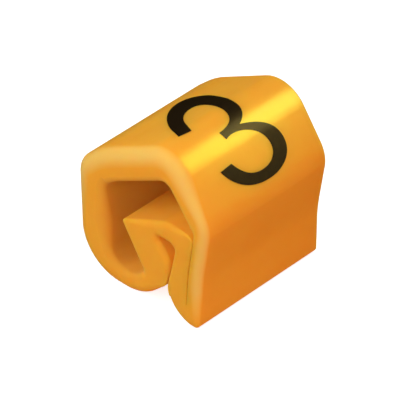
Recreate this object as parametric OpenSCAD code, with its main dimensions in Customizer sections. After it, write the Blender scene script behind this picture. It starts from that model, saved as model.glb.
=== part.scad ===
// Slip-on cable marker: a short soft sleeve cut from one extruded strip. The strip closes on itself
// round the wire, with a fold tucked inside that opens out when a thicker wire is pushed through.
// X runs across the sleeve, Y along the wire, Z up from the floor that the sleeve lies on.

/* [Sleeve] */
// cut length along the wire
length = 3; // [2:0.1:9]
// width across the two shoulders, to the corners before rounding
width = 3.13; // [2.9:0.01:3.6]
// height of the left shoulder's corner
left_shoulder = 2.1; // [1.9:0.01:2.3]
// height of the right shoulder's corner
right_shoulder = 2.22; // [2:0.01:2.5]
// height at which the two slopes of the roof meet
ridge_height = 3.47; // [3.2:0.01:3.8]
// distance of the ridge to the right of the middle
ridge_offset = 0.7; // [0.4:0.01:0.9]
// distance of the bend in the left slope from the shoulder, across the sleeve
eave_run = 0.56; // [0.4:0.01:0.8]
// rise of the left slope between the shoulder and that bend
eave_rise = 0.51; // [0.4:0.01:0.6]
// inward lean of both sides from the shoulders to the floor
side_lean = 0.21; // [0.1:0.01:0.3]
// height of the waist in the right side
waist_height = 1.06; // [0.9:0.01:1.3]
// depth to which the waist is drawn in
waist_depth = 0.07; // [0:0.01:0.1]

/* [Walls] */
// thickness of the left side
left_wall = 0.67; // [0.5:0.01:0.75]
// thickness of the left slope of the roof
roof_wall = 0.6; // [0.45:0.01:0.7]
// thickness of the right slope of the roof at the ridge
slope_wall = 0.5; // [0.35:0.01:0.6]
// thickness of the right slope at the right shoulder
shoulder_wall = 0.34; // [0.25:0.01:0.45]
// thickness of the right side
right_wall = 0.26; // [0.2:0.01:0.35]
// thickness of the bottom under the channel
floor_wall = 0.37; // [0.3:0.01:0.45]

/* [Fold] */
// drop from the right shoulder's inner corner to the top of the fold
fold_drop = 0.1; // [0.08:0.01:0.3]
// thickness of the arch over the hollow
arch_wall = 0.42; // [0.3:0.01:0.5]
// thickness of the leaf between the slit and the crease
leaf_wall = 0.45; // [0.35:0.01:0.55]
// gap between the leaf and the right side at both ends of the crease
crease_gap = 0.03; // [0.02:0.01:0.06]
// extra gap at the middle of the crease
crease_belly = 0.02; // [0:0.01:0.06]
// height of the crease's closed end
crease_end = 0.44; // [0.3:0.01:0.6]
// gap between the two lips of the slit
slit_gap = 0.03; // [0.02:0.01:0.08]
// height of the block's lip at the slit's mouth
mouth_height = 0.59; // [0.45:0.01:0.75]
// step from the block's lip down to the leaf's lip
lip_step = 0.12; // [0.05:0.01:0.2]
// distance from the leaf's lip to the corner of the toe's underside
undercut = 0.21; // [0.15:0.01:0.3]
// width of the hollow at the top of the slit
hollow_width = 0.42; // [0.3:0.01:0.6]
// height of the hollow above the slit
hollow_height = 0.39; // [0.25:0.01:0.5]
// width of the block at its foot, between the channel and the slit
block_foot = 0.54; // [0.4:0.01:0.65]
// drop from the top of the fold to the beak's point
beak_drop = 0.48; // [0.3:0.01:0.6]
// clear gap between the beak's point and the left side of the channel
channel_gap = 0.4; // [0.25:0.01:0.55]

/* [Roundings] */
// rounding of the bowl's left corner, measured back from the corner
bowl_round = 0.8; // [0.5:0.01:0.9]
// rounding of the bowl towards the slit
bowl_rise = 0.4; // [0.2:0.01:0.5]
// rounding of the shoulders
shoulder_round = 0.25; // [0.15:0.01:0.35]
// rounding of the ridge
ridge_round = 0.47; // [0.3:0.01:0.6]
// rounding of the toe's point
toe_round = 0.12; // [0.11:0.01:0.2]
// rounding of the toe's underside
underside_round = 0.34; // [0.2:0.01:0.36]
// rounding of the hollow and of the fold's shoulder
fold_round = 0.15; // [0.1:0.01:0.2]
// rounding of the lips and of the beak's point
lip_round = 0.06; // [0.05:0.01:0.08]
// rounding of the channel's corners
channel_round = 0.16; // [0.1:0.01:0.2]
// rounding of the channel's bottom left corner
channel_bowl = 0.33; // [0.2:0.01:0.4]
// edge rounding of both cut ends
rim = 0.09; // [0.03:0.01:0.1]
// edge rounding of both cut ends round the channel
channel_rim = 0.07; // [0.03:0.01:0.1]
// edge rounding of both cut ends along the slit, the hollow and the crease
fold_rim = 0.035; // [0.02:0.005:0.04]

/* [Hidden] */
// flats in each rounding of the outline, and in each edge rounding of the ends
arc_steps = 7;
rim_steps = 4;
// most of a straight run, or of a bend's radius, that its roundings take
fit = 0.98;

function unit(v) = v / norm(v);
function right_of(v) = [v[1], -v[0]];
function turn(a, b) = a[0] * b[1] - a[1] * b[0];
function at_height(a, b, z) = a + (b - a) * (z - a[1]) / (b[1] - a[1]);

// corner b of the run a, b, c moved into the wall, by s before the corner and by t after it
function inset(a, b, c, s, t) =
    let (u = unit(b - a), v = unit(c - b), p = b + right_of(u) * s, q = b + right_of(v) * t)
    p + u * turn(q - p, v) / turn(u, v);

// corners of the outside, clockwise as seen from the front end
half = width / 2;
bowl_left = [side_lean - half, 0];
shoulder = [-half, left_shoulder];
eave = shoulder + [eave_run, eave_rise];
ridge = [ridge_offset, ridge_height];
right = [half, right_shoulder];
toe = [half - side_lean, 0];
waist = at_height(toe, right, waist_height) - [waist_depth, 0];

// corners of the channel and the crease, moved in from the outside by the walls
shoulder_in = inset(bowl_left, shoulder, eave, left_wall, roof_wall);
eave_in = inset(shoulder, eave, ridge, roof_wall, roof_wall);
ridge_in = inset(eave, ridge, right, roof_wall, slope_wall);
right_in = inset(ridge, right, waist, shoulder_wall, right_wall);
waist_in = waist - [right_wall, 0];
crease_right = [toe[0] - right_wall, crease_end];
crease_left = crease_right - [crease_gap, 0];

// corners of the leaf, which lies along the right side
fold_top = right_in[1] - fold_drop;
fold_shoulder = at_height(waist_in, right_in, fold_top) - [crease_gap, 0];
leaf_middle = waist_in - [crease_gap + crease_belly, 0];
heel = [crease_left[0] - leaf_wall - slit_gap, mouth_height];
notch = heel + [slit_gap, -lip_step];
toe_under = [notch[0] + undercut, 0];

// corners of the hollow, the block and the bowl under the channel
hollow_right = [fold_shoulder[0] - leaf_wall, fold_top - arch_wall];
hollow_left = hollow_right - [hollow_width, 0];
hollow_middle = (hollow_right + hollow_left) / 2;
block_shoulder = [heel[0] - slit_gap / 2, hollow_right[1] - hollow_height];
block_corner = heel - [block_foot, 0];
bowl_right = [heel[0] - mouth_height, 0];
floor_right = inset(heel, bowl_right, bowl_left, floor_wall, floor_wall);
floor_left = inset(bowl_right, bowl_left, shoulder, floor_wall, left_wall);
fold_bend = [heel[0], fold_top];
beak_level = fold_top - beak_drop;
beak = at_height(floor_left, shoulder_in, beak_level) + [channel_gap, 0];

// each bend of the strip: outer corner, its rounding and rim, then inner corner, its rounding and rim
bends = [
    [heel, lip_round, fold_rim, block_corner, lip_round, fold_rim],
    [bowl_right, bowl_rise, rim, floor_right, channel_round, channel_rim],
    [bowl_left, bowl_round, rim, floor_left, channel_bowl, channel_rim],
    [shoulder, shoulder_round, rim, shoulder_in, channel_round, channel_rim],
    [eave, shoulder_round, rim, eave_in, channel_round, channel_rim],
    [ridge, ridge_round, rim, ridge_in, channel_round, channel_rim],
    [right, shoulder_round, rim, right_in, min(channel_round, fold_drop), channel_rim],
    [waist, shoulder_round, rim, waist_in, shoulder_round, fold_rim],
    [toe, toe_round, rim, crease_right, crease_gap / 2, fold_rim],
    [toe_under, underside_round, rim, crease_left, crease_gap / 2, fold_rim],
    [notch, lip_round, fold_rim, leaf_middle, shoulder_round, fold_rim],
    [hollow_right, fold_round, fold_rim, fold_shoulder, fold_round, fold_rim],
    [hollow_middle, lip_round, fold_rim, fold_bend, fold_round, fold_rim],
    [hollow_left, fold_round, fold_rim, (fold_bend + beak) / 2, fold_round, fold_rim],
    [block_shoulder, fold_round, fold_rim, beak, lip_round, fold_rim]
];

// share of the run from bend j to bend k that the rounding at k may take
function room(list, j, k) = fit * norm(list[k][0] - list[j][0]) / (list[k][1] + list[j][1]);

// points round bend k, each with its outline's direction and its rim, which an outward bend limits:
// side is 1 for the outside and -1 for the inside
function rounded(list, k, side) =
    let (
        n = len(list),
        before = (k + n - 1) % n,
        after = (k + 1) % n,
        c = list[k][0],
        u = unit(c - list[before][0]),
        v = unit(list[after][0] - c),
        back = list[k][1] * min(1, room(list, before, k), room(list, after, k)),
        w = sqrt((1 + u * v) / 2),
        limit = side * turn(u, v) < 0 ? fit * back * w / sqrt(1 - w * w) : rim
    )
    [for (i = [0:arc_steps])
        let (t = i / arc_steps, a = (1 - t) * (1 - t), b = t * (1 - t), d = t * t)
        [
            c + back * (d * v - a * u) / (a + 2 * b * w + d),
            unit(a * w * u + b * (u + v) + d * w * v),
            min(limit, (list[k][2] + (1 - t) * list[before][2] + t * list[after][2]) / 2)
        ]
    ];

function outline(list, side) = [for (k = [0:len(list) - 1]) each rounded(list, k, side)];

// one outline at step a of the rim's quarter round: side is 1 outside and -1 inside, end is -1 or 1
function ring(path, side, a, end) =
    [for (p = path)
        let (q = p[0] + side * right_of(p[1]) * p[2] * (1 - sin(a)))
        [q[0], end * (length / 2 - p[2] * (1 - cos(a))), q[1]]
    ];

function area(p, q, r) = turn([q[0] - p[0], q[2] - p[2]], [r[0] - p[0], r[2] - p[2]]);

// four corners of an end face's piece as two triangles that both lie inside it
function split(points, a, b, c, d) =
    let (
        p = points[a], q = points[b], r = points[c], s = points[d],
        way = sign(area(p, q, r) + area(p, r, s)),
        first = min(way * area(p, q, r), way * area(p, r, s)),
        second = min(way * area(q, r, s), way * area(q, s, p))
    )
    first > second ? [[a, b, c], [a, c, d]] : [[b, c, d], [b, d, a]];

// the strip's section, closed round both outlines: rings of points joined by triangles
module swept_strip(outer, inner) {
    quarter = [for (i = [0:rim_steps]) 90 * i / rim_steps];
    back_quarter = [for (i = [0:rim_steps]) 90 - quarter[i]];
    rings = concat(
        [for (a = quarter) ring(outer, 1, a, -1)],
        [for (a = back_quarter) ring(outer, 1, a, 1)],
        [for (a = quarter) ring(inner, -1, a, 1)],
        [for (a = back_quarter) ring(inner, -1, a, -1)]
    );
    m = len(rings);
    n = len(outer);
    points = [for (r = rings) each r];
    faces = [
        for (j = [0:m - 1], i = [0:n - 1])
            let (next = (j + 1) % m * n, side = (i + 1) % n)
            each split(points, j * n + i, j * n + side, next + side, next + i)
    ];
    polyhedron(points, faces);
}

module marker_sleeve() {
    color([0.9, 0.63, 0.19])
        swept_strip(
            outline([for (b = bends) [b[0], b[1], b[2]]], 1),
            outline([for (b = bends) [b[3], b[4], b[5]]], -1)
        );
}

marker_sleeve();
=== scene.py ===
import math

import bmesh
import bpy
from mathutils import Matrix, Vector


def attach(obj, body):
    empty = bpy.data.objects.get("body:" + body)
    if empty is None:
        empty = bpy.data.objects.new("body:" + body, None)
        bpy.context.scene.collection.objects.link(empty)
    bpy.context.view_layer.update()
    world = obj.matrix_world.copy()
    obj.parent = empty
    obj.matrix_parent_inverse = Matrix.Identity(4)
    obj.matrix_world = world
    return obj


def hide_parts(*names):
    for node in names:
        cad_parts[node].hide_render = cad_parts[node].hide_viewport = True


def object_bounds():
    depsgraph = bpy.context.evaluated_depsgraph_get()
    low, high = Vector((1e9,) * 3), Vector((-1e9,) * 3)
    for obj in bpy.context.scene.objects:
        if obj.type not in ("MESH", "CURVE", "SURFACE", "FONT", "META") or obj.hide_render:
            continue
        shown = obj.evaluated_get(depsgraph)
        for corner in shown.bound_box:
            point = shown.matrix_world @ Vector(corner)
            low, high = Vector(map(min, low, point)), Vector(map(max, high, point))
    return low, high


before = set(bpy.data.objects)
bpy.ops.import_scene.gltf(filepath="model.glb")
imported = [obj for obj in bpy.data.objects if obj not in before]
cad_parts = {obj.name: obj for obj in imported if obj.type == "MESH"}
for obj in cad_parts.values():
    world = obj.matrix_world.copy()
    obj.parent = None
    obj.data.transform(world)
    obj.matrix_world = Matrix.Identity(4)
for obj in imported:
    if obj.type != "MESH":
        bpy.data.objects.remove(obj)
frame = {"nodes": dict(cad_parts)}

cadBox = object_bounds()
mm = 0.001             # sizes below are in millimetres, the scene is in metres
print("frame loaded:", ", ".join(frame["nodes"]))


# one node with its settings and its inputs: a socket is linked, anything else is a plain value
def addNode(tree, kind, settings={}, inputs={}):
    node = tree.nodes.new(kind)
    for name, value in settings.items():
        setattr(node, name, value)
    for name, value in inputs.items():
        if isinstance(value, bpy.types.NodeSocket):
            tree.links.new(value, node.inputs[name])
        else:
            node.inputs[name].default_value = value
    return node


# sRGB hex to the linear colour that Blender's sockets take
def hexColour(code):
    parts = [int(code[i:i + 2], 16) / 255 for i in (0, 2, 4)]
    return [p / 12.92 if p <= 0.04045 else ((p + 0.055) / 1.055) ** 2.4 for p in parts] + [1.0]


# sizes of the extruded strip in mm; next to the part's source, the ridge is rounder, the crease, slit and
# toe are finer, the hollow is wider and the front edges are softer
sleeve = {
    "length": (cadBox[1].y - cadBox[0].y) / mm,
    "width": 3.13, "leftShoulder": 2.1, "rightShoulder": 2.22,
    "ridgeHeight": 3.524, "ridgeOffset": 0.714, "eaveRun": 0.56, "eaveRise": 0.51,
    "sideLean": 0.21, "waistHeight": 1.06, "waistDepth": 0.07,
    "leftWall": 0.67, "roofWall": 0.6, "slopeWall": 0.5,
    "shoulderWall": 0.34, "rightWall": 0.26, "floorWall": 0.37,
    "foldDrop": 0.1, "archWall": 0.42, "leafWall": 0.45,
    "creaseGap": 0.006, "creaseBelly": 0.006, "creaseEnd": 0.44,
    "slitGap": 0.03, "mouthHeight": 0.59, "lipStep": 0.06, "undercut": 0.19, "toeRise": 0.1,
    "hollowWidth": 0.49, "hollowHeight": 0.39, "blockFoot": 0.54,
    "beakDrop": 0.48, "channelGap": 0.4,
    "bowlRound": 0.8, "bowlRise": 0.4, "shoulderRound": 0.25, "ridgeRound": 0.62,
    "toeRound": 0.12, "undersideRound": 0.34, "notchRound": 0.12, "foldRound": 0.15, "lipRound": 0.06,
    "channelRound": 0.16, "channelBowl": 0.33,
    "rim": 0.2, "rearRim": 0.07, "roofRim": 0.34, "channelRim": 0.28, "bowlRim": 0.17, "ceilingRim": 0.12,
    "beakRim": 0.13, "hollowRim": 0.14, "toeRim": 0.07, "creaseRim": 0.045, "foldRim": 0.025,
    "rimDepth": 0.65,              # depth of the edge roundings along the wire, as a share of their width
    "ridgeBend": 5,                # number of the ridge's bend on the outside
    "highlightedBends": range(3, 8),     # bends of the outside, shoulder to waist, whose cut edges get a painted highlight
    "channelBends": range(1, 7),   # bends of the inside, bowl to ridge, that are the channel's walls
    "fit": 0.98,                   # most of a straight run, or of a bend's radius, that its roundings take
    "bendSteps": 14,               # points round each bend
    "rimSteps": 8,                 # flats in each edge rounding of the cut ends
    "weld": 2e-6,                  # points closer than this become one
}


def rightOf(v):
    return Vector((v.y, -v.x))


def turn(a, b):
    return a.x * b.y - a.y * b.x


def atHeight(a, b, z):
    return a + (b - a) * (z - a.y) / (b.y - a.y)


# corner b of the run a, b, c moved into the wall, by s before the corner and by t after it
def inset(a, b, c, s, t):
    u, v = (b - a).normalized(), (c - b).normalized()
    p, q = b + rightOf(u) * s, b + rightOf(v) * t
    return p + u * turn(q - p, v) / turn(u, v)


# corners of the strip's two outlines, each with its rounding and its rim, clockwise from the front end
def stripBends(s):
    half = s["width"] / 2
    bowlLeft = Vector((s["sideLean"] - half, 0))
    shoulder = Vector((-half, s["leftShoulder"]))
    eave = shoulder + Vector((s["eaveRun"], s["eaveRise"]))
    ridge = Vector((s["ridgeOffset"], s["ridgeHeight"]))
    right = Vector((half, s["rightShoulder"]))
    toe = Vector((half - s["sideLean"], 0))
    waist = atHeight(toe, right, s["waistHeight"]) - Vector((s["waistDepth"], 0))
    # channel and crease, moved in from the outside by the walls
    shoulderIn = inset(bowlLeft, shoulder, eave, s["leftWall"], s["roofWall"])
    eaveIn = inset(shoulder, eave, ridge, s["roofWall"], s["roofWall"])
    ridgeIn = inset(eave, ridge, right, s["roofWall"], s["slopeWall"])
    rightIn = inset(ridge, right, waist, s["shoulderWall"], s["rightWall"])
    waistIn = waist - Vector((s["rightWall"], 0))
    creaseRight = Vector((toe.x - s["rightWall"], s["creaseEnd"]))
    creaseLeft = creaseRight - Vector((s["creaseGap"], 0))
    # leaf along the right side
    foldTop = rightIn.y - s["foldDrop"]
    foldShoulder = atHeight(waistIn, rightIn, foldTop) - Vector((s["creaseGap"], 0))
    leafMiddle = waistIn - Vector((s["creaseGap"] + s["creaseBelly"], 0))
    heel = Vector((creaseLeft.x - s["leafWall"] - s["slitGap"], s["mouthHeight"]))
    notch = heel + Vector((s["slitGap"], -s["lipStep"]))
    toeUnder = Vector((notch.x + s["undercut"], s["toeRise"]))
    # hollow, block and bowl under the channel
    hollowRight = Vector((foldShoulder.x - s["leafWall"], foldTop - s["archWall"]))
    hollowLeft = hollowRight - Vector((s["hollowWidth"], 0))
    hollowMiddle = (hollowRight + hollowLeft) / 2
    blockTop = hollowRight.y - s["hollowHeight"]
    blockShoulder = atHeight(notch, hollowRight, blockTop) - Vector((s["slitGap"], 0))
    blockCorner = heel - Vector((s["blockFoot"], 0))
    bowlRight = Vector((heel.x - s["mouthHeight"], 0))
    floorRight = inset(heel, bowlRight, bowlLeft, s["floorWall"], s["floorWall"])
    floorLeft = inset(bowlRight, bowlLeft, shoulder, s["floorWall"], s["leftWall"])
    foldBend = Vector((heel.x, foldTop))
    beak = atHeight(floorLeft, shoulderIn, foldTop - s["beakDrop"]) + Vector((s["channelGap"], 0))
    rim, roofRim, channelRim, ceilingRim = s["rim"], s["roofRim"], s["channelRim"], s["ceilingRim"]
    bowlRim, foldRim, beakRim, hollowRim = s["bowlRim"], s["foldRim"], s["beakRim"], s["hollowRim"]
    creaseRim = s["creaseRim"]
    shoulderRound, channelRound, foldRound = s["shoulderRound"], s["channelRound"], s["foldRound"]
    lipRound, creaseRound = s["lipRound"], s["creaseGap"] / 2
    outer = [
        (heel, lipRound, foldRim), (bowlRight, s["bowlRise"], bowlRim), (bowlLeft, s["bowlRound"], bowlRim),
        (shoulder, shoulderRound, roofRim), (eave, shoulderRound, roofRim),
        (ridge, s["ridgeRound"], roofRim),
        (right, shoulderRound, rim), (waist, shoulderRound, rim), (toe, s["toeRound"], rim),
        (toeUnder, s["undersideRound"], s["toeRim"]), (notch, s["notchRound"], foldRim),
        (hollowRight, foldRound, hollowRim), (hollowMiddle, lipRound, hollowRim),
        (hollowLeft, foldRound, hollowRim), (blockShoulder, foldRound, hollowRim),
    ]
    inner = [
        (blockCorner, lipRound, beakRim), (floorRight, channelRound, ceilingRim),
        (floorLeft, s["channelBowl"], bowlRim), ((floorLeft + shoulderIn) / 2, shoulderRound, channelRim),
        (shoulderIn, channelRound, bowlRim),
        (eaveIn, channelRound, ceilingRim), (ridgeIn, channelRound, ceilingRim),
        (rightIn, min(channelRound, s["foldDrop"]), foldRim), (waistIn, shoulderRound, creaseRim),
        (creaseRight, creaseRound, foldRim), (creaseLeft, creaseRound, foldRim),
        (leafMiddle, shoulderRound, creaseRim), (foldShoulder, foldRound, creaseRim),
        (foldBend, foldRound, beakRim), ((foldBend + beak) / 2, foldRound, beakRim),
        (beak, lipRound, beakRim),
    ]
    return outer, inner


# the same corners as (corner, radius, rim, length of outline up to the bend's middle)
def fittedBends(bends, side, fit):
    fitted = []
    walked, lastBack = 0.0, 0.0
    for k, (corner, back, rim) in enumerate(bends):
        before, after = bends[k - 1], bends[(k + 1) % len(bends)]
        runIn, runOut = corner - before[0], after[0] - corner
        back = min(back, *(fit * run.length * back / (back + other[1])
                           for run, other in ((runIn, before), (runOut, after))))
        angle = runIn.angle(runOut)
        if angle < 1e-4:   # a straight point between two bends
            fitted.append((corner, 0.0, rim, walked))
            continue
        radius = back / math.tan(angle / 2)
        if side * turn(runIn, runOut) < 0:
            rim = min(rim, fit * radius)
        if k:
            walked += runIn.length - lastBack - back
        fitted.append((corner, radius, rim, walked + radius * angle / 2))
        walked += radius * angle
        lastBack = back
    return fitted


# both outlines as closed loops of edges in the X and Y of the tree, with what each corner carries
def outlineObject(s, loops):
    mesh = bpy.data.meshes.new("sleeveOutline")
    corners, edges, rounding, rims, sides, paintedHighlights, depths = [], [], [], [], [], [], []
    for bends, side in loops:
        first, count = len(corners), len(bends)
        for k, (corner, radius, rim, walked) in enumerate(bends):
            corners.append((corner.x, corner.y, 0))
            edges.append((first + k, first + (k + 1) % count))
            rounding.append(radius)
            rims.append(rim)
            sides.append(side)
            # the top and right corners of the outside carry a painted highlight on their cut edges; the
            # channel's walls carry painted shade and a duller gloss
            paintedHighlights.append(float(side > 0 and k in s["highlightedBends"]))
            depths.append(float(side < 0 and k in s["channelBends"]))
    mesh.from_pydata(corners, edges, [])
    for name, values in (("rounding", rounding), ("rim", rims), ("side", sides), ("haze", paintedHighlights),
                         ("depth", depths)):
        mesh.attributes.new(name, "FLOAT", "POINT").data.foreach_set("value", values)
    outline = bpy.data.objects.new("sleeveOutline", mesh)
    bpy.context.scene.collection.objects.link(outline)
    return outline


outerBends, innerBends = stripBends(sleeve)
outerBends = fittedBends(outerBends, 1, sleeve["fit"])
innerBends = fittedBends(innerBends, -1, sleeve["fit"])
outline = outlineObject(sleeve, [(outerBends, 1.0), (innerBends, -1.0)])
ridgeWalk = outerBends[sleeve["ridgeBend"]][3]   # way along the outside to the middle of the ridge's bend
print("outline corners:", len(outline.data.vertices), "ridge at", round(ridgeWalk, 3))


# a new tree with named inputs, and its input and output nodes
def startTree(name, sockets):
    tree = bpy.data.node_groups.new(name, "GeometryNodeTree")
    for label, kind in sockets:
        tree.interface.new_socket(label, in_out="INPUT", socket_type="NodeSocket" + kind)
    tree.interface.new_socket("Geometry", in_out="OUTPUT", socket_type="NodeSocketGeometry")
    return tree, addNode(tree, "NodeGroupInput"), addNode(tree, "NodeGroupOutput")


# runs a tree on an object and leaves its result as a plain mesh in a new object
def meshFrom(name, base, tree, values):
    modifier = base.modifiers.new(name, "NODES")
    modifier.node_group = tree
    for item in tree.interface.items_tree:
        if item.in_out == "INPUT" and item.name in values:
            modifier[item.identifier] = values[item.name]
    evaluated = base.evaluated_get(bpy.context.evaluated_depsgraph_get())
    mesh = bpy.data.meshes.new_from_object(evaluated)
    base.modifiers.remove(modifier)
    mesh.name = name
    piece = bpy.data.objects.new(name, mesh)
    bpy.context.scene.collection.objects.link(piece)
    return piece


# loops of corners to rounded curves; Inward is the way into the wall at each point
def roundTree():
    tree, given, made = startTree("roundOutline", [("Loops", "Geometry"), ("Steps", "Int")])
    tree.interface.new_socket("Inward", in_out="OUTPUT", socket_type="NodeSocketVector")
    curve = addNode(tree, "GeometryNodeMeshToCurve", {}, {"Mesh": given.outputs["Loops"]})
    rounding = addNode(tree, "GeometryNodeInputNamedAttribute", {"data_type": "FLOAT"}, {"Name": "rounding"})
    bent = addNode(tree, "GeometryNodeFilletCurve", {"mode": "POLY"}, {
        "Curve": curve.outputs[0], "Count": given.outputs["Steps"], "Radius": rounding.outputs[0]})
    side = addNode(tree, "GeometryNodeInputNamedAttribute", {"data_type": "FLOAT"}, {"Name": "side"})
    tangent = addNode(tree, "GeometryNodeInputTangent")
    across = addNode(tree, "ShaderNodeVectorMath", {"operation": "CROSS_PRODUCT"},
                     {0: tangent.outputs[0], 1: (0, 0, 1)})
    inward = addNode(tree, "ShaderNodeVectorMath", {"operation": "SCALE"},
                     {0: across.outputs[0], "Scale": side.outputs[0]})
    tree.links.new(bent.outputs[0], made.inputs["Geometry"])
    tree.links.new(inward.outputs[0], made.inputs["Inward"])
    return tree


rounder = roundTree()


# the strip: rings of the outline from end to end, drawn in round both cut edges, with flat ends
def sweepTree(rounder):
    tree, given, made = startTree("sleeveSweep", [
        ("Loops", "Geometry"), ("Length", "Float"), ("Bend Steps", "Int"), ("Rim Steps", "Int"),
        ("Rear Share", "Float"), ("Rim Depth", "Float"), ("Weld", "Float"), ("Plastic", "Material")])
    rounded = addNode(tree, "GeometryNodeGroup", {"node_tree": rounder},
                      {"Loops": given.outputs["Loops"], "Steps": given.outputs["Bend Steps"]})
    rim = addNode(tree, "GeometryNodeInputNamedAttribute", {"data_type": "FLOAT"}, {"Name": "rim"})
    haze = addNode(tree, "GeometryNodeInputNamedAttribute", {"data_type": "FLOAT"}, {"Name": "haze"})
    depth = addNode(tree, "GeometryNodeInputNamedAttribute", {"data_type": "FLOAT"}, {"Name": "depth"})
    spot = addNode(tree, "GeometryNodeInputPosition")
    held = tree.nodes.new("GeometryNodeCaptureAttribute")
    for kind, label in (("VECTOR", "Spot"), ("VECTOR", "Inward"), ("FLOAT", "Rim"), ("FLOAT", "Haze"),
                        ("FLOAT", "Depth")):
        held.capture_items.new(kind, label)
    for target, source in (("Geometry", rounded.outputs["Geometry"]), ("Spot", spot.outputs[0]),
                           ("Inward", rounded.outputs["Inward"]), ("Rim", rim.outputs[0]),
                           ("Haze", haze.outputs[0]), ("Depth", depth.outputs[0])):
        tree.links.new(source, held.inputs[target])
    # one ring for each step of the two edge roundings
    count = addNode(tree, "ShaderNodeMath", {"operation": "MULTIPLY_ADD"},
                    {0: given.outputs["Rim Steps"], 1: 2.0, 2: 2.0})
    line = addNode(tree, "GeometryNodeMeshLine", {}, {"Count": count.outputs[0]})
    profile = addNode(tree, "GeometryNodeMeshToCurve", {}, {"Mesh": line.outputs[0]})
    index = addNode(tree, "GeometryNodeInputIndex")
    rings = tree.nodes.new("GeometryNodeCaptureAttribute")
    rings.capture_items.new("INT", "Ring")
    tree.links.new(profile.outputs[0], rings.inputs["Geometry"])
    tree.links.new(index.outputs[0], rings.inputs["Ring"])
    swept = addNode(tree, "GeometryNodeCurveToMesh", {}, {
        "Curve": held.outputs["Geometry"], "Profile Curve": rings.outputs["Geometry"]})
    ring = rings.outputs["Ring"]
    last = addNode(tree, "ShaderNodeMath", {"operation": "SUBTRACT"}, {0: count.outputs[0], 1: 1.0})
    fromFar = addNode(tree, "ShaderNodeMath", {"operation": "SUBTRACT"}, {0: last.outputs[0], 1: ring})
    step = addNode(tree, "ShaderNodeMath", {"operation": "MINIMUM"}, {0: ring, 1: fromFar.outputs[0]})
    share = addNode(tree, "ShaderNodeMath", {"operation": "DIVIDE"},
                    {0: step.outputs[0], 1: given.outputs["Rim Steps"]})
    angle = addNode(tree, "ShaderNodeMath", {"operation": "MULTIPLY"}, {0: share.outputs[0], 1: math.pi / 2})
    sine = addNode(tree, "ShaderNodeMath", {"operation": "SINE"}, {0: angle.outputs[0]})
    cosine = addNode(tree, "ShaderNodeMath", {"operation": "COSINE"}, {0: angle.outputs[0]})
    # the rear end, swept first, has its roundings cut down to a share of the front end's
    far = addNode(tree, "ShaderNodeMath", {"operation": "GREATER_THAN"},
                  {0: ring, 1: given.outputs["Rim Steps"]})
    ownShare = addNode(tree, "ShaderNodeMix", {"data_type": "FLOAT"}, {
        "Factor": far.outputs[0], 2: given.outputs["Rear Share"], 3: 1.0})
    ownRim = addNode(tree, "ShaderNodeMath", {"operation": "MULTIPLY"},
                     {0: held.outputs["Rim"], 1: ownShare.outputs[0]})
    inShare = addNode(tree, "ShaderNodeMath", {"operation": "SUBTRACT"}, {0: 1.0, 1: sine.outputs[0]})
    inDepth = addNode(tree, "ShaderNodeMath", {"operation": "MULTIPLY"},
                      {0: inShare.outputs[0], 1: ownRim.outputs[0]})
    backShare = addNode(tree, "ShaderNodeMath", {"operation": "SUBTRACT"}, {0: 1.0, 1: cosine.outputs[0]})
    deepRim = addNode(tree, "ShaderNodeMath", {"operation": "MULTIPLY"},
                      {0: ownRim.outputs[0], 1: given.outputs["Rim Depth"]})
    backDepth = addNode(tree, "ShaderNodeMath", {"operation": "MULTIPLY"},
                        {0: backShare.outputs[0], 1: deepRim.outputs[0]})
    half = addNode(tree, "ShaderNodeMath", {"operation": "MULTIPLY"}, {0: given.outputs["Length"], 1: 0.5})
    reach = addNode(tree, "ShaderNodeMath", {"operation": "SUBTRACT"},
                    {0: half.outputs[0], 1: backDepth.outputs[0]})
    sign = addNode(tree, "ShaderNodeMath", {"operation": "MULTIPLY_ADD"},
                   {0: far.outputs[0], 1: 2.0, 2: -1.0})
    level = addNode(tree, "ShaderNodeMath", {"operation": "MULTIPLY"},
                    {0: reach.outputs[0], 1: sign.outputs[0]})
    lift = addNode(tree, "ShaderNodeCombineXYZ", {}, {"Z": level.outputs[0]})
    drawnIn = addNode(tree, "ShaderNodeVectorMath", {"operation": "SCALE"},
                      {0: held.outputs["Inward"], "Scale": inDepth.outputs[0]})
    inPlane = addNode(tree, "ShaderNodeVectorMath", {"operation": "ADD"},
                      {0: held.outputs["Spot"], 1: drawnIn.outputs[0]})
    place = addNode(tree, "ShaderNodeVectorMath", {"operation": "ADD"},
                    {0: inPlane.outputs[0], 1: lift.outputs[0]})
    wall = addNode(tree, "GeometryNodeSetPosition", {},
                   {"Geometry": swept.outputs[0], "Position": place.outputs[0]})
    # how much painted highlight a point of the outer cut edge takes: 0 on the end and on the wall, 1 halfway
    double = addNode(tree, "ShaderNodeMath", {"operation": "MULTIPLY"}, {0: angle.outputs[0], 1: 2.0})
    highlightProfile = addNode(tree, "ShaderNodeMath", {"operation": "SINE"}, {0: double.outputs[0]})
    # and how far inside the channel a point is, for the painted shade and duller gloss there: 0 on the end,
    # 1 past the edge rounding
    sunk = addNode(tree, "ShaderNodeMath", {"operation": "SQRT"}, {0: share.outputs[0]})
    marked = wall
    for name, shape, label in (("cutEdge", highlightProfile, "Haze"), ("channel", sunk, "Depth")):
        amount = addNode(tree, "ShaderNodeMath", {"operation": "MULTIPLY"},
                         {0: shape.outputs[0], 1: held.outputs[label]})
        marked = addNode(tree, "GeometryNodeStoreNamedAttribute", {"data_type": "FLOAT", "domain": "POINT"},
                         {"Geometry": marked.outputs[0], "Name": name, "Value": amount.outputs[0]})
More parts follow.
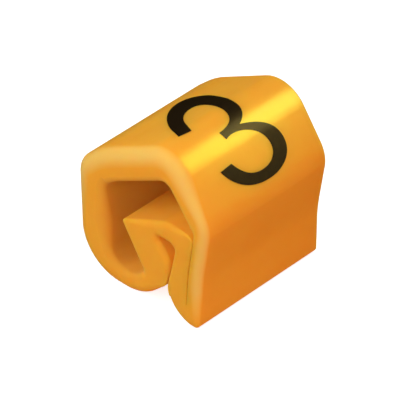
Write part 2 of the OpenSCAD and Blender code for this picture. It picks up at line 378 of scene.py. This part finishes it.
    # flat ends between the two drawn-in outlines
    joined = addNode(tree, "GeometryNodeJoinGeometry")
    for way, ends in ((1.0, 1.0), (-1.0, given.outputs["Rear Share"])):
        endRim = addNode(tree, "ShaderNodeMath", {"operation": "MULTIPLY"},
                         {0: held.outputs["Rim"], 1: ends})
        fullIn = addNode(tree, "ShaderNodeVectorMath", {"operation": "SCALE"},
                         {0: held.outputs["Inward"], "Scale": endRim.outputs[0]})
        endPlace = addNode(tree, "ShaderNodeVectorMath", {"operation": "ADD"},
                           {0: held.outputs["Spot"], 1: fullIn.outputs[0]})
        endLine = addNode(tree, "GeometryNodeSetPosition", {},
                          {"Geometry": held.outputs["Geometry"], "Position": endPlace.outputs[0]})
        filled = addNode(tree, "GeometryNodeFillCurve", {"mode": "TRIANGLES"}, {"Curve": endLine.outputs[0]})
        flat = addNode(tree, "GeometryNodeSetShadeSmooth", {},
                       {"Geometry": filled.outputs[0], "Shade Smooth": False})
        shift = addNode(tree, "ShaderNodeMath", {"operation": "MULTIPLY"}, {0: half.outputs[0], 1: way})
        move = addNode(tree, "ShaderNodeCombineXYZ", {}, {"Z": shift.outputs[0]})
        end = addNode(tree, "GeometryNodeTransform", {},
                      {"Geometry": flat.outputs[0], "Translation": move.outputs[0]})
        tree.links.new(end.outputs[0], joined.inputs[0])
    tree.links.new(marked.outputs[0], joined.inputs[0])
    welded = addNode(tree, "GeometryNodeMergeByDistance", {},
                     {"Geometry": joined.outputs[0], "Distance": given.outputs["Weld"]})
    stood = addNode(tree, "GeometryNodeTransform", {}, {
        "Geometry": welded.outputs[0], "Rotation": (math.pi / 2, 0, 0), "Scale": (mm, mm, mm)})
    real = addNode(tree, "GeometryNodeRealizeInstances", {}, {"Geometry": stood.outputs[0]})
    finished = addNode(tree, "GeometryNodeSetMaterial", {},
                       {"Geometry": real.outputs[0], "Material": given.outputs["Plastic"]})
    tree.links.new(finished.outputs[0], made.inputs["Geometry"])
    return tree


# one plain outward-facing shell: the flat ends come from a fill that doesn't know which way is out
def faceOutward(piece):
    shell = bmesh.new()
    shell.from_mesh(piece.data)
    bmesh.ops.recalc_face_normals(shell, faces=shell.faces)
    shell.to_mesh(piece.data)
    shell.free()


# colours and surface of the sleeve's plastic
pvc = {
    # light and deep vary at random through the plastic; the paler third tone is a painted highlight
    "light": "F8AA36", "deep": "F4A432", "highlighted": "EEDA80",
    "inner": "E4A03A",             # painted shade: a darker tone on the walls of the channel, deeper inside
    "haze": 0.46,                  # share of the paler tone painted as highlight on the top and right cut edges
    "reach": (0.26, 0.19, 0.12),   # mm that red, green and blue light wander inside
    "ior": 1.53, "gloss": 0.08, "glossTint": "E8F040",
    "rough": 0.36, "roughVary": 0.05,
    "dull": 0.4,                   # how much rougher the channel's walls are
    "cloud": 0.9, "dieLine": 0.07, "grain": 0.03,   # sizes of its patterns, in mm
    "cloudSpan": (0.3, 0.7),       # part of the cloud's noise that goes from deep to light
    "lineSquash": 0.04,            # die lines are this much slower along the wire than across
    "lineShare": 0.5,              # relief of the die lines next to the grain's
    "relief": 0.002, "reliefStrength": 0.25,        # depth of the relief in mm, and how much of it shows
}


# soft PVC, extruded and cut: satin, a little see-through, so light wanders inside and warms its shaded
# sides; faint lines run along the wire from the die; the top and right cut edges get a painted highlight,
# and the channel's walls painted shade
def softPvcMaterial(v):
    material = bpy.data.materials.new("softPvc")
    material.use_nodes = True
    tree = material.node_tree
    shader = tree.nodes["Principled BSDF"]
    where = addNode(tree, "ShaderNodeTexCoord")
    cloud = addNode(tree, "ShaderNodeTexNoise", {}, {
        "Vector": where.outputs["Object"], "Scale": 1 / (v["cloud"] * mm), "Detail": 3.0, "Roughness": 0.55})
    along = addNode(tree, "ShaderNodeMapping", {}, {
        "Vector": where.outputs["Object"], "Scale": (1.0, v["lineSquash"], 1.0)})
    dieLine = addNode(tree, "ShaderNodeTexNoise", {}, {
        "Vector": along.outputs["Vector"], "Scale": 1 / (v["dieLine"] * mm), "Detail": 2.0})
    grain = addNode(tree, "ShaderNodeTexNoise", {}, {
        "Vector": where.outputs["Object"], "Scale": 1 / (v["grain"] * mm), "Detail": 2.0})
    spread = addNode(tree, "ShaderNodeMapRange", {}, {
        "Value": cloud.outputs["Fac"], "From Min": v["cloudSpan"][0], "From Max": v["cloudSpan"][1]})
    colour = addNode(tree, "ShaderNodeMix", {"data_type": "RGBA"}, {
        "Factor": spread.outputs["Result"], 6: hexColour(v["deep"]), 7: hexColour(v["light"])})
    edge = addNode(tree, "ShaderNodeAttribute", {"attribute_name": "cutEdge"})
    edgeShare = addNode(tree, "ShaderNodeMath", {"operation": "MULTIPLY"},
                        {0: edge.outputs["Fac"], 1: v["haze"]})
    channel = addNode(tree, "ShaderNodeAttribute", {"attribute_name": "channel"})
    # painted shade: a darker tone on the channel's walls
    channelShaded = addNode(tree, "ShaderNodeMix", {"data_type": "RGBA"}, {
        "Factor": channel.outputs["Fac"], 6: colour.outputs[2], 7: hexColour(v["inner"])})
    # painted highlight: a paler tone on the top and right cut edges
    highlighted = addNode(tree, "ShaderNodeMix", {"data_type": "RGBA"}, {
        "Factor": edgeShare.outputs[0], 6: channelShaded.outputs[2], 7: hexColour(v["highlighted"])})
    rough = addNode(tree, "ShaderNodeMapRange", {}, {
        "Value": dieLine.outputs["Fac"],
        "To Min": v["rough"] - v["roughVary"], "To Max": v["rough"] + v["roughVary"]})
    dulled = addNode(tree, "ShaderNodeMath", {"operation": "MULTIPLY_ADD"}, {
        0: channel.outputs["Fac"], 1: v["dull"], 2: rough.outputs["Result"]})
    relief = addNode(tree, "ShaderNodeMath", {"operation": "MULTIPLY_ADD"}, {
        0: dieLine.outputs["Fac"], 1: v["lineShare"], 2: grain.outputs["Fac"]})
    bump = addNode(tree, "ShaderNodeBump", {}, {
        "Height": relief.outputs[0], "Strength": v["reliefStrength"], "Distance": v["relief"] * mm})
    for name, source in (("Base Color", highlighted.outputs[2]), ("Roughness", dulled.outputs[0]),
                         ("Normal", bump.outputs["Normal"])):
        tree.links.new(source, shader.inputs[name])
    shader.inputs["IOR"].default_value = v["ior"]
    shader.inputs["Specular IOR Level"].default_value = v["gloss"]
    shader.inputs["Specular Tint"].default_value = hexColour(v["glossTint"])
    shader.inputs["Subsurface Weight"].default_value = 1.0
    shader.inputs["Subsurface Radius"].default_value = v["reach"]
    shader.inputs["Subsurface Scale"].default_value = mm
    return material


softPvc = softPvcMaterial(pvc)
bodyPiece = meshFrom("marker_body", outline, sweepTree(rounder), {
    "Length": sleeve["length"], "Bend Steps": sleeve["bendSteps"], "Rim Steps": sleeve["rimSteps"],
    "Rear Share": sleeve["rearRim"] / sleeve["rim"], "Rim Depth": sleeve["rimDepth"],
    "Weld": sleeve["weld"], "Plastic": softPvc})
faceOutward(bodyPiece)
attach(bodyPiece, "root")
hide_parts("marker_sleeve")
print("sleeve faces:", len(bodyPiece.data.polygons))

# the printed figure: its outline laid flat, from the upper end round by the outside, as corners and curve
# points (along the wire, up the roof from the ridge, heading and reach of the curve coming in and going out)
figure = {
    "film": 0.008, "sunk": 0.004,   # ink above the plastic, and hidden below its face
    "slice": 0.03,                  # width of the strips that bend over the ridge
    "weld": 1e-5,                   # points closer than this become one
    "edgeTurn": 0.6,                # radians between faces from which an edge stays sharp
    "curveSteps": 16,
    "outline": [
        (-0.925, 0.279, 0, 0, 68, 0.511),          # upper end, outside
        (0.307, 1.678, 9, 0.453, 9, 0.287),        # top
        (0.644, 1.132, -96, 0.232, -96, 0.204),    # upper bowl's side
        (0.464, 0.428, -109, 0.194, -109, 0.251),  # where the ridge's bend begins
        (0.107, -0.161, -155, 0.374, -16, 0.372),  # notch at the waist
        (0.781, -0.794, -90, 0.336, -90, 0.27),    # lower bowl's side
        (0.268, -1.217, 185, 0.238, 185, 0.631),   # bottom
        (-0.722, -0.679, 110, 0.217, 0, 0),        # lower end, outside
        (-0.452, -0.654, 0, 0, -60, 0.263),        # lower end, inside
        (0.198, -1.019, 8, 0.331, 8, 0.158),       # inside of the bottom
        (0.48, -0.727, 94, 0.178, 94, 0.341),      # inside of the lower bowl
        (-0.306, -0.262, 201, 0.324, 0, 0),        # stub, lower corner
        (-0.335, -0.105, 0, 0, 4, 0.376),          # stub, upper corner
        (0.163, 0.373, 80, 0.339, 80, 0.143),      # inside, where the ridge's bend ends
        (0.266, 0.82, 85, 0.186, 85, 0.126),       # inside of the upper bowl
        (0.131, 1.086, 174, 0.14, 174, 0.283),     # inside of the top
        (-0.664, 0.233, -114, 0.377, 0, 0),        # upper end, inside
    ],
}


# the figure as one flat sheet, cut into strips along the wire so that each stays flat when it is bent
def flatFigure(f):
    points = []
    anchors = f["outline"]
    for k, (x, y, headIn, reachIn, headOut, reachOut) in enumerate(anchors):
        after = anchors[(k + 1) % len(anchors)]
        a, d = Vector((x, y, 0)), Vector((after[0], after[1], 0))
        out, back = math.radians(headOut), math.radians(after[2])
        b = a + Vector((math.cos(out), math.sin(out), 0)) * reachOut
        c = d - Vector((math.cos(back), math.sin(back), 0)) * after[3]
        steps = f["curveSteps"] if reachOut else 1
        for i in range(steps):
            t = i / steps
            points.append(a * (1 - t) ** 3 + b * 3 * t * (1 - t) ** 2 + c * 3 * t * t * (1 - t) + d * t ** 3)
    sheet = bmesh.new()
    sheet.faces.new([sheet.verts.new(p) for p in reversed(points)])
    low, high = min(p.y for p in points), max(p.y for p in points)
    for i in range(1, int((high - low) / f["slice"])):
        bmesh.ops.bisect_plane(sheet, geom=sheet.verts[:] + sheet.edges[:] + sheet.faces[:], dist=1e-6,
                               plane_co=(0, low + i * f["slice"], 0), plane_no=(0, 1, 0))
    mesh = bpy.data.meshes.new("flatFigure")
    sheet.to_mesh(mesh)
    sheet.free()
    flat = bpy.data.objects.new("flatFigure", mesh)
    bpy.context.scene.collection.objects.link(flat)
    return flat


# lays a flat sheet on the outside of the sleeve: X runs along the wire, Y round the outline from the ridge
def drapeTree(rounder):
    tree, given, made = startTree("figureDrape", [
        ("Figure", "Geometry"), ("Outline", "Object"), ("Bend Steps", "Int"), ("Ridge Walk", "Float"),
        ("Film", "Float"), ("Sunk", "Float"), ("Weld", "Float"), ("Edge Turn", "Float"),
        ("Ink", "Material")])
    thick = addNode(tree, "ShaderNodeMath", {"operation": "ADD"},
                    {0: given.outputs["Film"], 1: given.outputs["Sunk"]})
    rise = addNode(tree, "ShaderNodeCombineXYZ", {}, {"Z": thick.outputs[0]})
    raised = addNode(tree, "GeometryNodeExtrudeMesh", {"mode": "FACES"}, {
        "Mesh": given.outputs["Figure"], "Offset": rise.outputs[0], "Offset Scale": 1.0,
        "Individual": False})
    under = addNode(tree, "GeometryNodeFlipFaces", {}, {"Mesh": given.outputs["Figure"]})
    both = addNode(tree, "GeometryNodeJoinGeometry")
    tree.links.new(raised.outputs["Mesh"], both.inputs[0])
    tree.links.new(under.outputs[0], both.inputs[0])
    closed = addNode(tree, "GeometryNodeMergeByDistance", {},
                     {"Geometry": both.outputs[0], "Distance": given.outputs["Weld"]})
    carrier = addNode(tree, "GeometryNodeObjectInfo", {}, {"Object": given.outputs["Outline"]})
    rounded = addNode(tree, "GeometryNodeGroup", {"node_tree": rounder}, {
        "Loops": carrier.outputs["Geometry"], "Steps": given.outputs["Bend Steps"]})
    here = addNode(tree, "GeometryNodeInputPosition")
    parts = addNode(tree, "ShaderNodeSeparateXYZ", {}, {0: here.outputs[0]})
    walk = addNode(tree, "ShaderNodeMath", {"operation": "SUBTRACT"},
                   {0: given.outputs["Ridge Walk"], 1: parts.outputs["Y"]})
    spot = addNode(tree, "GeometryNodeSampleCurve", {"mode": "LENGTH", "data_type": "FLOAT_VECTOR"}, {
        "Curves": rounded.outputs["Geometry"], "Value": rounded.outputs["Inward"],
        "Length": walk.outputs[0], "Curve Index": 0})
    inward = addNode(tree, "ShaderNodeVectorMath", {"operation": "NORMALIZE"}, {0: spot.outputs["Value"]})
    height = addNode(tree, "ShaderNodeMath", {"operation": "SUBTRACT"},
                     {0: given.outputs["Sunk"], 1: parts.outputs["Z"]})
    offset = addNode(tree, "ShaderNodeVectorMath", {"operation": "SCALE"},
                     {0: inward.outputs[0], "Scale": height.outputs[0]})
    back = addNode(tree, "ShaderNodeMath", {"operation": "MULTIPLY"}, {0: parts.outputs["X"], 1: -1.0})
    along = addNode(tree, "ShaderNodeCombineXYZ", {}, {"Z": back.outputs[0]})
    onFace = addNode(tree, "ShaderNodeVectorMath", {"operation": "ADD"},
                     {0: spot.outputs["Position"], 1: offset.outputs[0]})
    place = addNode(tree, "ShaderNodeVectorMath", {"operation": "ADD"},
                    {0: onFace.outputs[0], 1: along.outputs[0]})
    laid = addNode(tree, "GeometryNodeSetPosition", {},
                   {"Geometry": closed.outputs[0], "Position": place.outputs[0]})
    stood = addNode(tree, "GeometryNodeTransform", {}, {
        "Geometry": laid.outputs[0], "Rotation": (math.pi / 2, 0, 0), "Scale": (mm, mm, mm)})
    smooth = addNode(tree, "GeometryNodeSetShadeSmooth", {}, {"Geometry": stood.outputs[0]})
    angle = addNode(tree, "GeometryNodeInputMeshEdgeAngle")
    steep = addNode(tree, "ShaderNodeMath", {"operation": "GREATER_THAN"},
                    {0: angle.outputs[0], 1: given.outputs["Edge Turn"]})
    creased = addNode(tree, "GeometryNodeSetShadeSmooth", {"domain": "EDGE"}, {
        "Geometry": smooth.outputs[0], "Selection": steep.outputs[0], "Shade Smooth": False})
    real = addNode(tree, "GeometryNodeRealizeInstances", {}, {"Geometry": creased.outputs[0]})
    finished = addNode(tree, "GeometryNodeSetMaterial", {},
                       {"Geometry": real.outputs[0], "Material": given.outputs["Ink"]})
    tree.links.new(finished.outputs[0], made.inputs["Geometry"])
    return tree


# colours and surface of the print; the mottle is in mm
ink = {
    "dark": "1A1207", "worn": "261C0F", "mottle": 0.05,
    "ior": 1.5, "gloss": 0.011, "rough": 0.34, "roughVary": 0.06,
}


# black marking ink, printed and dried on the plastic: a thin satin film, slightly uneven in cover
def markingInkMaterial(v):
    material = bpy.data.materials.new("markingInk")
    material.use_nodes = True
    tree = material.node_tree
    shader = tree.nodes["Principled BSDF"]
    where = addNode(tree, "ShaderNodeTexCoord")
    mottle = addNode(tree, "ShaderNodeTexNoise", {}, {
        "Vector": where.outputs["Object"], "Scale": 1 / (v["mottle"] * mm), "Detail": 3.0})
    colour = addNode(tree, "ShaderNodeMix", {"data_type": "RGBA"}, {
        "Factor": mottle.outputs["Fac"], 6: hexColour(v["dark"]), 7: hexColour(v["worn"])})
    rough = addNode(tree, "ShaderNodeMapRange", {}, {
        "Value": mottle.outputs["Fac"],
        "To Min": v["rough"] - v["roughVary"], "To Max": v["rough"] + v["roughVary"]})
    tree.links.new(colour.outputs[2], shader.inputs["Base Color"])
    tree.links.new(rough.outputs["Result"], shader.inputs["Roughness"])
    shader.inputs["IOR"].default_value = v["ior"]
    shader.inputs["Specular IOR Level"].default_value = v["gloss"]
    return material


flat = flatFigure(figure)
figurePiece = meshFrom("figure_print", flat, drapeTree(rounder), {
    "Outline": outline, "Bend Steps": sleeve["bendSteps"], "Ridge Walk": ridgeWalk,
    "Film": figure["film"], "Sunk": figure["sunk"], "Weld": figure["weld"],
    "Edge Turn": figure["edgeTurn"], "Ink": markingInkMaterial(ink)})
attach(figurePiece, "root")
print("figure faces:", len(figurePiece.data.polygons))

bpy.data.objects.remove(flat)
bpy.data.objects.remove(outline)

# a long lens: the turn round the object's middle, and the point that lands in the picture's centre
viewing = {
    "azimuth": 43.6, "elevation": 37.3, "away": 67.5, "middle": (0, 0, 1.6),
    "aim": (0.106, -0.122, 1.388), "lens": 356, "sensor": 36, "clip": (1, 1000),
}


def makeCamera(v):
    a, e = math.radians(v["azimuth"]), math.radians(v["elevation"])
    back = Vector((math.sin(a) * math.cos(e), -math.cos(a) * math.cos(e), math.sin(e)))
    stand = Vector(v["middle"]) + back * v["away"]
    data = bpy.data.cameras.new("camera")
    data.lens, data.sensor_width = v["lens"], v["sensor"]
    data.clip_start, data.clip_end = (distance * mm for distance in v["clip"])
    camera = bpy.data.objects.new("camera", data)
    camera.location = stand * mm
    camera.rotation_mode = "QUATERNION"
    camera.rotation_quaternion = (Vector(v["aim"]) - stand).to_track_quat("-Z", "Y")
    bpy.context.scene.collection.objects.link(camera)
    bpy.context.scene.camera = camera


makeCamera(viewing)
print("camera away:", viewing["away"], "mm")

# the floor; sizes are in mm
ground = {
    "size": 400, "pale": "C9C9C8", "paler": "CFCFCE", "mottle": 6.0,
    "glow": 0.74, "glowTone": "FFFFFF", "rough": 0.9, "gloss": 0.1,
}


# opal acrylic of a light table, moulded matt and lit from below: an even white with a barely seen mottle
def opalAcrylicMaterial(v):
    material = bpy.data.materials.new("opalAcrylic")
    material.use_nodes = True
    tree = material.node_tree
    shader = tree.nodes["Principled BSDF"]
    where = addNode(tree, "ShaderNodeTexCoord")
    mottle = addNode(tree, "ShaderNodeTexNoise", {}, {
        "Vector": where.outputs["Object"], "Scale": 1 / (v["mottle"] * mm), "Detail": 4.0})
    colour = addNode(tree, "ShaderNodeMix", {"data_type": "RGBA"}, {
        "Factor": mottle.outputs["Fac"], 6: hexColour(v["pale"]), 7: hexColour(v["paler"])})
    tree.links.new(colour.outputs[2], shader.inputs["Base Color"])
    shader.inputs["Roughness"].default_value = v["rough"]
    shader.inputs["Specular IOR Level"].default_value = v["gloss"]
    shader.inputs["Emission Color"].default_value = hexColour(v["glowTone"])
    shader.inputs["Emission Strength"].default_value = v["glow"]
    return material


def makeFloor(v):
    half = v["size"] * mm / 2
    mesh = bpy.data.meshes.new("floor")
    corners = [(-half, -half, 0), (half, -half, 0), (half, half, 0), (-half, half, 0)]
    mesh.from_pydata(corners, [], [(0, 1, 2, 3)])
    mesh.materials.append(opalAcrylicMaterial(v))
    floor = bpy.data.objects.new("floor", mesh)
    bpy.context.scene.collection.objects.link(floor)
    floor.visible_diffuse = False   # the floor neither lights, mirrors in nor shades the sleeve
    floor.visible_glossy = False
    floor.visible_shadow = False


makeFloor(ground)
print("floor:", ground["size"], "mm square")

# soft studio lights: place and sides of each panel in mm, power in milliwatts, and a tone where it isn't
# white; a glint shows in the gloss alone, and a wash in the colour alone
lights = {
    "top": {"at": (47, 19, 85), "size": (60, 60), "power": 37},
    "keyLeft": {"at": (-57, -57, 57), "size": (60, 60), "power": 35},
    "back": {"at": (-40, 66, 14), "size": (60, 60), "power": 16, "wash": True},
    "keyRight": {"at": (10, -33, 22), "size": (24, 24), "power": 8.0},
    "fill": {"at": (30, -5, -22), "size": (24, 24), "power": 6.2, "tone": "FF8850"},
    "ridgeGlint": {
        "at": (3.5, 3.5, 7.3), "size": (6.4, 6.4), "power": 9.0, "tone": "FFF8A0", "glint": True},
}
lightsAim = (0.3, 0, 2.6)   # the point they all face
daylight = {"tone": "FFFFFF", "strength": 0.21}


def makeLights(panels, aim):
    for name, panel in panels.items():
        data = bpy.data.lights.new(name, "AREA")
        data.shape = "ELLIPSE" if "glint" in panel else "RECTANGLE"
        data.size, data.size_y = (side * mm for side in panel["size"])
        data.energy = panel["power"] * mm
        data.color = hexColour(panel.get("tone", "FFFFFF"))[:3]
        lamp = bpy.data.objects.new(name, data)
        lamp.location = Vector(panel["at"]) * mm
        lamp.rotation_mode = "QUATERNION"
        lamp.rotation_quaternion = (aim - Vector(panel["at"])).to_track_quat("-Z", "Y")
        lamp.visible_camera = False
        lamp.visible_diffuse = "glint" not in panel
        lamp.visible_glossy = "wash" not in panel
        bpy.context.scene.collection.objects.link(lamp)


makeLights(lights, Vector(lightsAim))
world = bpy.data.worlds.new("studio")
world.use_nodes = True
sky = world.node_tree.nodes["Background"]
sky.inputs["Color"].default_value = hexColour(daylight["tone"])
sky.inputs["Strength"].default_value = daylight["strength"]
bpy.context.scene.world = world
world.cycles_visibility.glossy = False   # the sky's light is soft colour, with no sheen of its own
bpy.context.scene.view_settings.view_transform = "Standard"
print("lights:", len(lights))
